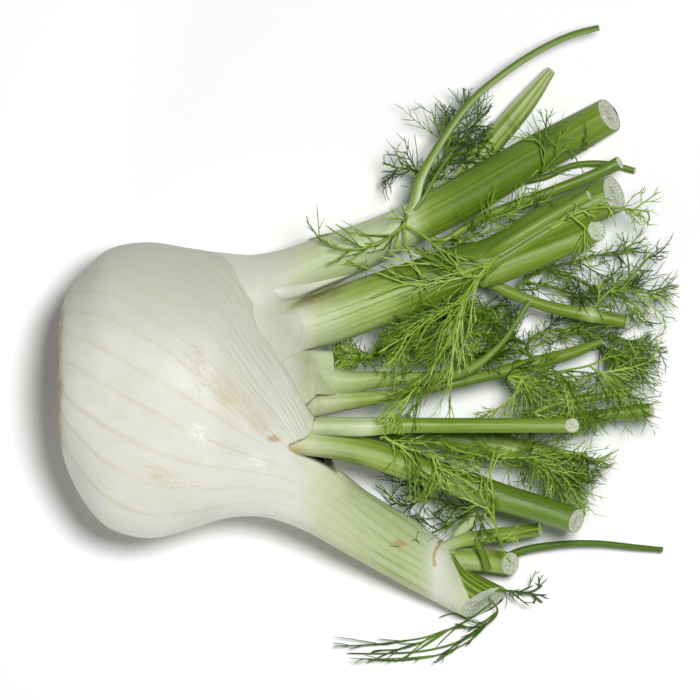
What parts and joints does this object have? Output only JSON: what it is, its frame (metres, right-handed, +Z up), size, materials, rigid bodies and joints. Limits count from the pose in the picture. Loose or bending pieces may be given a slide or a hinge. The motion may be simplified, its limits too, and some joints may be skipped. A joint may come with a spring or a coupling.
{
  "type": "fennel bulb",
  "caption": "Fennel bulb lying on its side: a white bulb of packed leaf sheaths, ribbed green stalks cut short and feathery thread-like fronds.",
  "frame": {"origin": "middle of the small flat spot that the bulb rests on, level with the table", "axes": "+X from the root plate towards the cut stalks, +Y across the bulb towards the thick upper stalk, +Z up"},
  "size_m": [0.2286, 0.2443, 0.0749],
  "materials": {
    "sheath": "waxy satin skin with fine veins",
    "stalk": "ribbed satin skin, paler towards the bulb",
    "frond": "soft matt threads"
  },
  "bodies": {
    "root": {"bulb": "sheath", "upper_leaf": "stalk", "middle_leaf": "stalk", "inner_leaf": "sheath", "front_stalk": "stalk", "lower_stalk": "stalk", "heart_leaf": "stalk", "back_stalk": "stalk", "far_leaf": "stalk", "frond_high": "frond", "frond_front": "frond", "frond_sweep": "frond", "frond_heart": "frond", "frond_gap": "frond", "frond_right": "frond", "frond_behind": "frond", "frond_centre": "frond", "frond_under": "frond", "frond_low_right": "frond", "frond_low_mid": "frond", "frond_low_back": "frond", "frond_pale": "frond", "frond_bottom": "frond", "frond_tip": "frond", "frond_sparse_top": "frond", "frond_sparse_mid": "frond"}
  },
  "joints": []
}
